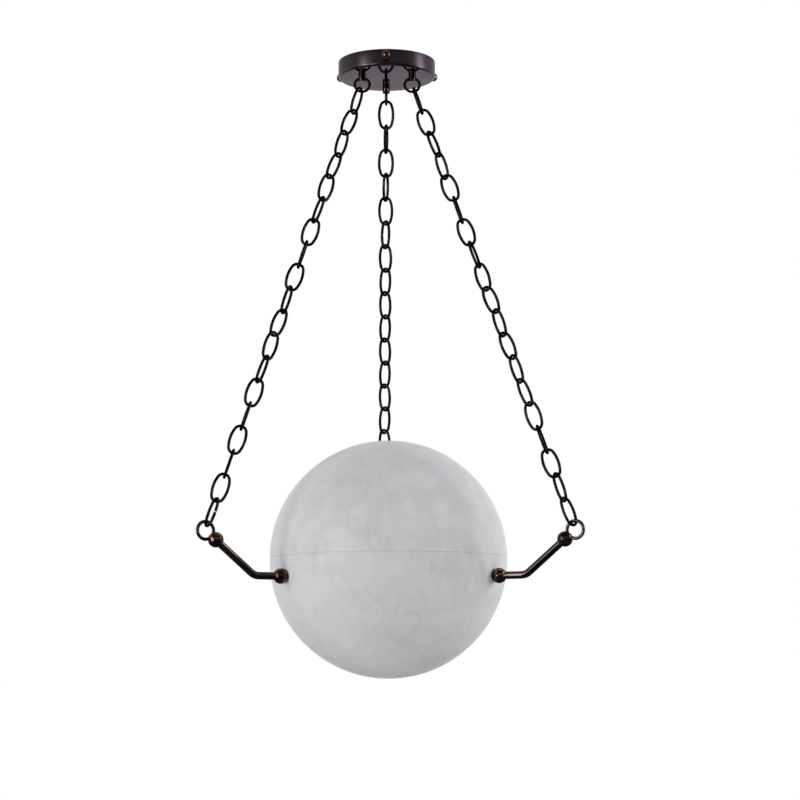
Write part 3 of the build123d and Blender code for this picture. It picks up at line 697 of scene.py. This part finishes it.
def screws_tree():
    """One turned screw laid outwards, again and again round the canopy's axis."""
    tree, given, out = new_group("screws_round_canopy", "GeometryNodeTree", (
        ("Screw", "NodeSocketObject", None),
        ("Count", "NodeSocketInt", SCREW_COUNT),
        ("First turn", "NodeSocketFloat", SCREW_FIRST_TURN),
        ("Drop", "NodeSocketFloat", SCREW_DROP),
        ("Finish", "NodeSocketMaterial", None),
    ), (("Screws", "NodeSocketGeometry"),))
    place = add(tree, "ShaderNodeCombineXYZ", {"Z": math_node(tree, "MULTIPLY", given["Drop"], -1.0)})
    points = add(tree, "GeometryNodePoints", {"Count": given["Count"], "Position": place.outputs[0]})
    step = math_node(tree, "DIVIDE", FULL_TURN, given["Count"])
    number = add(tree, "GeometryNodeInputIndex").outputs[0]
    turn = math_node(tree, "ADD", given["First turn"], math_node(tree, "MULTIPLY", number, step))
    laid_out = turned_about(tree, (0, 1, 0), QUARTER_TURN)
    placed = add(tree, "GeometryNodeInstanceOnPoints", {
        "Points": points.outputs[0], "Instance": given_object(tree, given["Screw"]),
        "Rotation": turned_within(tree, turned_about(tree, (0, 0, 1), turn), laid_out),
    })
    end_tree(tree, placed.outputs["Instances"], given["Finish"], out["Screws"])
    return tree


cup = mesh_of("canopy_cup", *lathe(canopy_profile(), TURNED_SEGMENTS))
piece("canopy_cup", cup, "canopy_bronze", "canopy", "canopy")

one_screw = add_object("one_ball_screw", mesh_of("one_ball_screw", *lathe(screw_profile(), SCREW_SEGMENTS)))
screws = tree_mesh("canopy_ball_screws", screws_tree(), bpy.data.meshes.new("screws_seed"), {
    "Screw": one_screw, "Count": SCREW_COUNT, "First turn": SCREW_FIRST_TURN, "Drop": SCREW_DROP,
    "Finish": ball_bronze,
})
bpy.data.objects.remove(one_screw)
piece("canopy_ball_screws", screws, "ball_bronze", "canopy", "canopy_screws")


# Rings

for side in SIDES:
    hang = (ring_centre[side] - ring_pivot[side]).normalized()
    across = Vector((0, 1, 0)) if side == "back" else Vector((1, 0, 0))
    facing = Matrix((across, hang, across.cross(hang))).transposed().to_4x4()
    place = Matrix.Translation(ring_centre[side]) @ facing
    ring = mesh_of(f"{side}_wire_ring", *wire_ring(RING_MEAN, RING_WIRE), place)
    piece(f"{side}_wire_ring", ring, "chain_bronze", f"{side}_ring", f"{side}_ring")


# Chains

def link_points(slit):
    """Points along the wire of one link, of two end arcs and two side arcs, open at the slit."""
    end_in = LINK_HALF_LENGTH - LINK_END
    side_round = (LINK_HALF_LENGTH**2 + LINK_HALF_WIDTH**2 - 2 * LINK_HALF_LENGTH * LINK_END) / (
        2 * (LINK_HALF_WIDTH - LINK_END))
    side_in = side_round - LINK_HALF_WIDTH
    meet = math.atan2(end_in, side_in)
    open_angle = math.asin(slit / 2 / side_round)
    return (
        arc((-side_in, 0), side_round, open_angle, meet, steps=6)
        + arc((0, end_in), LINK_END, meet, math.pi - meet, steps=12)[1:]
        + arc((side_in, 0), side_round, math.pi - meet, math.pi + meet, steps=12)[1:]
        + arc((0, -end_in), LINK_END, math.pi + meet, FULL_TURN - meet, steps=12)[1:]
        + arc((-side_in, 0), side_round, -meet, -open_angle, steps=6)[1:]
    )


def chain_tree():
    """Links of round wire on points, each turned about the chain's line by its own angle."""
    tree, given, out = new_group("chain_of_links", "GeometryNodeTree", (
        ("Places", "NodeSocketGeometry", None),
        ("Link path", "NodeSocketObject", None),
        ("Opened link path", "NodeSocketObject", None),
        ("Wire radius", "NodeSocketFloat", LINK_WIRE),
        ("Wire sides", "NodeSocketInt", LINK_SIDES),
        ("Chain line", "NodeSocketVector", (0, 0, -1)),
        ("Across", "NodeSocketVector", (1, 0, 0)),
        ("Finish", "NodeSocketMaterial", None),
    ), (("Chain", "NodeSocketGeometry"),))
    along = add(tree, "FunctionNodeAxesToRotation", {0: given["Chain line"], 1: given["Across"]},
                primary_axis="Z", secondary_axis="X")
    turn = add(tree, "GeometryNodeInputNamedAttribute", {"Name": "turn"}, data_type="FLOAT")
    about_line = turned_about(tree, (0, 0, 1), turn.outputs["Attribute"])
    facing = turned_within(tree, along.outputs[0], about_line)
    opened = add(tree, "GeometryNodeInputNamedAttribute", {"Name": "opened"}, data_type="BOOLEAN")
    is_opened = opened.outputs["Attribute"]
    is_closed = add(tree, "FunctionNodeBooleanMath", {0: is_opened}, operation="NOT").outputs[0]
    joined = add(tree, "GeometryNodeJoinGeometry")
    for label, chosen in (("Link path", is_closed), ("Opened link path", is_opened)):
        link = round_bar(tree, given_object(tree, given[label]), given["Wire radius"], given["Wire sides"])
        placed = add(tree, "GeometryNodeInstanceOnPoints", {
            "Points": given["Places"], "Selection": chosen, "Instance": link, "Rotation": facing,
        })
        tree.links.new(placed.outputs["Instances"], joined.inputs[0])
    end_tree(tree, joined.outputs[0], given["Finish"], out["Chain"])
    return tree


def twist_at(side, number):
    """A link's further turn in degrees, in proportion between the marked links on either side of it."""
    marks = TWISTS[side]
    for (first, low), (last, high) in zip(marks, marks[1:]):
        if first <= number <= last:
            return low + (high - low) * (number - first) / (last - first)
    return marks[-1][1]


def link_places(name, points, turns, opened):
    """Loose points, each with its link's turn and whether that link was opened."""
    mesh = bpy.data.meshes.new(name)
    mesh.from_pydata(points, [], [])
    for label, kind, values in (("turn", "FLOAT", turns), ("opened", "BOOLEAN", opened)):
        attribute = mesh.attributes.new(label, kind, "POINT")
        attribute.data.foreach_set("value", values)
    return mesh


chain_nodes = chain_tree()
closed_link = path_object("closed_link_path", link_points(LINK_SLIT))
opened_link = path_object("opened_link_path", link_points(OPENED_SLIT))


def make_chain(name, side, numbers, body):
    """Some links of one chain, counted from its ring to its eye."""
    top, bottom = ring_centre[side], eye_centre[side]
    line = (bottom - top).normalized()
    first = RING_TO_LINK + LINK_INNER / 2
    last = (bottom - top).length - EYE_TO_LINK - LINK_INNER / 2
    pitch = (last - first) / (LINK_COUNT - 1)
    across = Vector((1, 0, 0)) if side == "back" else Vector((0, 1, 0))
    square = (across - line * across.dot(line)).normalized()
    seed = link_places(
        name + "_places",
        points=[top + line * (first + (n - 1) * pitch) for n in numbers],
        turns=[math.radians(LINK_TURN * (n - 1) + twist_at(side, n)) for n in numbers],
        opened=[side == "left" and n == LINK_COUNT for n in numbers],
    )
    chain = tree_mesh(name, chain_nodes, seed, {
        "Link path": closed_link, "Opened link path": opened_link,
        "Wire radius": LINK_WIRE, "Wire sides": LINK_SIDES,
        "Chain line": tuple(line), "Across": tuple(square), "Finish": chain_bronze,
    })
    for attribute in ("turn", "opened"):
        if attribute in chain.attributes:
            chain.attributes.remove(chain.attributes[attribute])
    piece(name, chain, "chain_bronze", body, body)


make_chain("left_link_chain", "left", range(1, LINK_COUNT + 1), "left_chain")
make_chain("right_link_chain", "right", range(1, LINK_COUNT + 1), "right_chain")
make_chain("back_link_chain", "back", range(1, LINK_COUNT), "back_chain")
make_chain("back_last_link", "back", [LINK_COUNT], "back_end_link")
for path in (closed_link, opened_link):
    bpy.data.objects.remove(path)


# Arms

stone_at_stud = math.sqrt(GLOBE**2 - STUD_BELOW_CENTRE**2)
inner_ball = Vector((stone_at_stud + BALL_FROM_STONE, 0, stud_z))
slant = Vector((math.cos(ARM_RISE), 0, math.sin(ARM_RISE)))
bend = Vector((BEND_FROM_AXIS, 0, stud_z))
outer_ball = bend + slant * ARM_SLANT
eye_place = outer_ball + slant * EYE_FROM_BALL


def rod_path():
    """From the inner ball's socket, level to the bend and up the slant to the outer ball's socket."""
    in_ball = BALL - ROD_SOCKET
    bend_start = bend.x - BEND_RADIUS * math.tan(ARM_RISE / 2)
    bend_centre = (bend_start, stud_z + BEND_RADIUS)
    end = bend + slant * (ARM_SLANT - in_ball)
    return [
        (inner_ball.x + in_ball, stud_z),
        *arc(bend_centre, BEND_RADIUS, -QUARTER_TURN, ARM_RISE - QUARTER_TURN, steps=14),
        (end.x, end.z),
    ]


def rod_tree():
    """A round rod along a path."""
    tree, given, out = new_group("rod_on_path", "GeometryNodeTree", (
        ("Path", "NodeSocketObject", None),
        ("Radius", "NodeSocketFloat", ROD),
        ("Sides", "NodeSocketInt", ROD_SIDES),
        ("Finish", "NodeSocketMaterial", None),
    ), (("Rod", "NodeSocketGeometry"),))
    rod = round_bar(tree, given_object(tree, given["Path"]), given["Radius"], given["Sides"])
    end_tree(tree, rod, given["Finish"], out["Rod"])
    return tree


def flat_ball_profile():
    """A ball cut flat where it lies on the stone."""
    return [(0, -BALL_FLAT)] + arc((0, 0), BALL, -math.asin(BALL_FLAT / BALL), QUARTER_TURN, steps=30)


def whole_ball_profile():
    return arc((0, 0), BALL, -QUARTER_TURN, QUARTER_TURN, steps=40)


rod_nodes = rod_tree()
bent_path = path_object("bent_rod_path", rod_path())
upright_ring = Matrix.Rotation(QUARTER_TURN, 4, "X")
for side in SIDES:
    turn = arm_frame(side)
    rod = tree_mesh(f"{side}_bent_rod", rod_nodes, bpy.data.meshes.new("rod_seed"), {
        "Path": bent_path, "Radius": ROD, "Sides": ROD_SIDES, "Finish": arm_bronze,
    })
    rod.transform(turn)
    piece(f"{side}_bent_rod", rod, "arm_bronze", "globe", f"{side}_arm_rod")
    near = mesh_of(f"{side}_stone_ball", *lathe(flat_ball_profile(), BALL_SEGMENTS),
                   turn @ Matrix.Translation(inner_ball) @ along_x)
    piece(f"{side}_stone_ball", near, "ball_bronze", "globe", f"{side}_inner_ball")
    far = mesh_of(f"{side}_end_ball", *lathe(whole_ball_profile(), BALL_SEGMENTS),
                  turn @ Matrix.Translation(outer_ball) @ along_x)
    piece(f"{side}_end_ball", far, "ball_bronze", "globe", f"{side}_outer_ball")
    eye = mesh_of(f"{side}_chain_eye", *wire_ring(EYE_MEAN, EYE_WIRE),
                  turn @ Matrix.Translation(eye_place) @ upright_ring)
    piece(f"{side}_chain_eye", eye, "arm_bronze", "globe", f"{side}_eye")
bpy.data.objects.remove(bent_path)


# Globe

STONE_INSIDE = GLOBE - STONE_WALL
LAP_RADIUS = STONE_INSIDE + LAP_THICKNESS


def half_globe_profile(pole, seam, lap):
    """A shell of stone from its pole, which is -1 below and 1 above, to its seam and its lap's radius."""
    rim = math.sqrt(GLOBE**2 - seam**2) - SEAM_EDGE
    lap_top = seam + LAP_HEIGHT
    outer_end = math.asin((seam + pole * SEAM_EDGE) / GLOBE)
    inner_end = math.asin(lap_top / STONE_INSIDE)
    return (
        arc((0, 0), GLOBE, pole * QUARTER_TURN, outer_end, steps=72)
        + [(rim, seam), (lap, seam), (lap, lap_top)]
        + arc((0, 0), STONE_INSIDE, inner_end, pole * QUARTER_TURN, steps=48)
    )


def seat_cutter():
    """A round bar along a stud, wide in the stone's face and narrow through its wall."""
    inside = GLOBE - 2 * STONE_WALL
    seat = stone_at_stud - BALL_SEAT_DEPTH
    outside = GLOBE + STONE_WALL
    return lathe([
        (0, inside), (STUD_HOLE, inside), (STUD_HOLE, seat),
        (BALL_SEAT, seat), (BALL_SEAT, outside), (0, outside),
    ], SEAT_SEGMENTS)


def cut_seats(mesh):
    """The bowl with a round seat and a hole for each arm."""
    cutters = bmesh.new()
    for side in SIDES:
        place = arm_frame(side) @ Matrix.Translation((0, 0, stud_z)) @ along_x
        one = mesh_of("seat_cutter", *seat_cutter(), place)
        cutters.from_mesh(one)
        bpy.data.meshes.remove(one)
    cutter_mesh = bpy.data.meshes.new("seat_cutters")
    cutters.to_mesh(cutter_mesh)
    cutters.free()
    for form in (mesh, cutter_mesh):
        close_up(form)
    whole = add_object("whole_bowl", mesh)
    tool = add_object("seat_cutters", cutter_mesh)
    modifier = whole.modifiers.new("seats", "BOOLEAN")
    modifier.operation = "DIFFERENCE"
    modifier.solver = "EXACT"
    modifier.object = tool
    cut = evaluated_mesh(whole)
    for thing in (whole, tool):
        bpy.data.objects.remove(thing)
    cut.name = "stone_bowl"
    return cut


globe_place = Matrix.Translation((0, 0, globe_z))
bowl_profile = half_globe_profile(-1, SEAM_RISE, LAP_RADIUS)
dome_profile = half_globe_profile(1, SEAM_RISE + SEAM_GAP, LAP_RADIUS + LAP_GAP)
bowl = mesh_of("whole_bowl", *lathe(bowl_profile, TURNED_SEGMENTS), globe_place)
dome = mesh_of("stone_dome", *lathe(dome_profile, TURNED_SEGMENTS), globe_place)
piece("stone_bowl", cut_seats(bowl), "alabaster", "globe", "lower_bowl")
piece("stone_dome", dome, "alabaster", "dome", "upper_dome")


# The other solids stay, with merged and smoothed facets

def smooth_tree():
    """Joins loose facets and smooths all but their edges."""
    tree, given, out = new_group("smoothed_facets", "GeometryNodeTree", (
        ("Facets", "NodeSocketGeometry", None),
        ("Edge angle", "NodeSocketFloat", FACET_ANGLE),
    ), (("Smoothed", "NodeSocketGeometry"),))
    merged = add(tree, "GeometryNodeMergeByDistance", {
        "Geometry": given["Facets"], "Distance": SAME_FACET_POINT,
    })
    smooth = add(tree, "GeometryNodeSetShadeSmooth", {"Geometry": merged.outputs[0], "Shade Smooth": True})
    angle = add(tree, "GeometryNodeInputMeshEdgeAngle").outputs["Unsigned Angle"]
    sharp = add(tree, "FunctionNodeCompare", {0: angle, 1: given["Edge angle"]},
                data_type="FLOAT", operation="GREATER_THAN")
    edged = add(tree, "GeometryNodeSetShadeSmooth", {
        "Geometry": smooth.outputs[0], "Selection": sharp.outputs[0], "Shade Smooth": False,
    }, domain="EDGE")
    tree.links.new(edged.outputs[0], out["Smoothed"])
    return tree


smoothing = smooth_tree()
slot_of = {part["node"]: part["material_slot"] for part in frame["record"]["subparts"]}
for name, node in frame["nodes"].items():
    node.data.materials.clear()
    node.data.materials.append(MATERIALS[slot_of[name]])
    if not node.hide_render:
        modifier = node.modifiers.new("smoothed", "NODES")
        modifier.node_group = smoothing


# Camera, lamps and floor

def place_camera():
    """The photograph's view: a place turned round the light's axis, then heading, tilt and roll."""
    level = math.cos(CAMERA_TILT)
    forward = Vector((
        math.sin(CAMERA_HEADING) * level, math.cos(CAMERA_HEADING) * level, math.sin(CAMERA_TILT),
    ))
    right = Vector((math.cos(CAMERA_HEADING), -math.sin(CAMERA_HEADING), 0))
    up = right.cross(forward)
    rolled_right = right * math.cos(CAMERA_ROLL) - up * math.sin(CAMERA_ROLL)
    rolled_up = right * math.sin(CAMERA_ROLL) + up * math.cos(CAMERA_ROLL)
    facing = Matrix((rolled_right, rolled_up, -forward)).transposed().to_4x4()
    data = bpy.data.cameras.new("view")
    data.sensor_fit = "HORIZONTAL"
    data.sensor_width = SENSOR_WIDTH
    data.lens = FOCAL_PIXELS / FRAME_PIXELS * SENSOR_WIDTH
    data.clip_end = CAMERA_REACH
    made = add_object("view", data)
    made.matrix_world = Matrix.Rotation(-CAMERA_TURN, 4, "Z") @ Matrix.Translation(CAMERA_PLACE) @ facing
    bpy.context.scene.camera = made


def soft_lamp(name, turn, height, aim, size, watts, colour):
    """A soft lamp, turned to the right from the camera's side and aimed at a height on the light's axis."""
    data = bpy.data.lights.new(name, "AREA")
    data.shape = "RECTANGLE"
    data.size, data.size_y = size
    data.energy = watts
    data.color = colour
    made = add_object(name, data)
    angle = math.radians(turn)
    place = Vector((LAMP_DISTANCE * math.sin(angle), -LAMP_DISTANCE * math.cos(angle), height))
    made.location = place
    made.rotation_euler = (Vector((0, 0, aim)) - place).to_track_quat("-Z", "Y").to_euler()


def pale_surround():
    """White behind the light as the camera sees it. The room lights the stone from all round, and metal
    mirrors it dark on the camera's side."""
    world = bpy.data.worlds.new("surround")
    bpy.context.scene.world = world
    world.use_nodes = True
    tree = world.node_tree
    tree.nodes.clear()
    rays = add(tree, "ShaderNodeLightPath").outputs
    towards = add(tree, "ShaderNodeTexCoord").outputs["Generated"]
    axes = axes_of(tree, towards)
    bright_side = vector_node(tree, "DOT_PRODUCT", towards, BRIGHT_SIDE, "Value")
    lit = add(tree, "ShaderNodeMapRange", {
        "Value": bright_side, "From Min": -1.0, "From Max": 1.0, "To Min": LIT_FRONT, "To Max": LIT_BACK,
    }).outputs[0]
    strip_start = remap(tree, axes["Z"], *STRIP_START)
    strip_end = remap(tree, axes["Z"], *STRIP_END, 1.0, 0.0)
    strip = math_node(tree, "MULTIPLY", strip_start, strip_end)
    front = remap(tree, strip, 0.0, 1.0, MIRRORED_FRONT, MIRRORED_STRIP)
    back = remap(tree, axes["Y"], *FRONT_TO_BACK)
    shown = mix_value(tree, back, front, 1.0)
    mirrored = math_node(tree, "MAXIMUM", rays["Is Glossy Ray"], rays["Is Transmission Ray"])
    strength = mix_value(tree, mirrored, lit, shown)
    seen = mix_value(tree, rays["Is Camera Ray"], strength, 1.0)
    white = add(tree, "ShaderNodeBackground", {"Color": (1, 1, 1, 1), "Strength": seen})
    add(tree, "ShaderNodeOutputWorld", {"Surface": white.outputs[0]})


def floor_paint():
    """Pale paint that the camera sees as white, fading out to the floor's edge and clear from below. Metal
    mirrors it dark near the light."""
    material = bpy.data.materials.new("floor_paint")
    material.use_nodes = True
    tree = material.node_tree
    shader = tree.nodes["Principled BSDF"]
    shader.inputs["Roughness"].default_value = 0.9
    shader.inputs["Specular IOR Level"].default_value = 0.1
    shader.inputs["Emission Strength"].default_value = FLOOR_LIFT
    rays = add(tree, "ShaderNodeLightPath").outputs
    place = surface_place(tree)
    tone = remap(tree, noise(tree, place, FLOOR_CLOUDS), 0.3, 0.7, *FLOOR_TONE)
    away = axes_of(tree, place)["Y"]
    near_dark = remap(tree, away, *FLOOR_MIRRORED_REACH, *FLOOR_MIRRORED)
    mirrored = mix_value(tree, rays["Is Glossy Ray"], 1.0, near_dark)
    colour = grey(tree, math_node(tree, "MULTIPLY", tone, mirrored))
    tree.links.new(colour, shader.inputs["Base Color"])
    tree.links.new(rays["Is Camera Ray"], shader.inputs["Emission Color"])
    flat = vector_node(tree, "MULTIPLY", place, (1.0, 1.0, 0.0))
    apart = add(tree, "ShaderNodeVectorMath", {0: flat}, operation="LENGTH").outputs["Value"]
    faded = math_node(tree, "MULTIPLY", rays["Is Camera Ray"], remap(tree, apart, *FLOOR_FADE))
    below = add(tree, "ShaderNodeNewGeometry").outputs["Backfacing"]
    clear = add(tree, "ShaderNodeBsdfTransparent").outputs[0]
    seen = add(tree, "ShaderNodeMixShader", {
        0: math_node(tree, "MAXIMUM", faded, below), 1: shader.outputs[0], 2: clear,
    })
    tree.links.new(seen.outputs[0], tree.nodes["Material Output"].inputs["Surface"])
    return material


def pale_floor():
    """A square floor below the light."""
    corners = ((-1, -1), (1, -1), (1, 1), (-1, 1))
    verts = [(x * FLOOR_HALF, y * FLOOR_HALF, FLOOR_HEIGHT) for x, y in corners]
    mesh = mesh_of("floor", verts, [[0, 1, 2, 3]])
    mesh.materials.append(floor_paint())
    made = add_object("floor", mesh)


place_camera()
soft_lamp("left_softbox", turn=-56, height=-0.4, aim=-0.5, size=(0.55, 2.3), watts=24.5,
          colour=(0.97, 0.975, 0.985))
soft_lamp("right_softbox", turn=84, height=0.1, aim=-0.45, size=(0.5, 1.9), watts=31.0,
          colour=(1.0, 0.98, 0.98))
soft_lamp("small_lamp", turn=-36, height=-0.8, aim=-0.65, size=(0.45, 0.45), watts=8.0,
          colour=(1.0, 0.9, 0.82))
pale_surround()
pale_floor()
bpy.context.scene.view_settings.view_transform = "Standard"
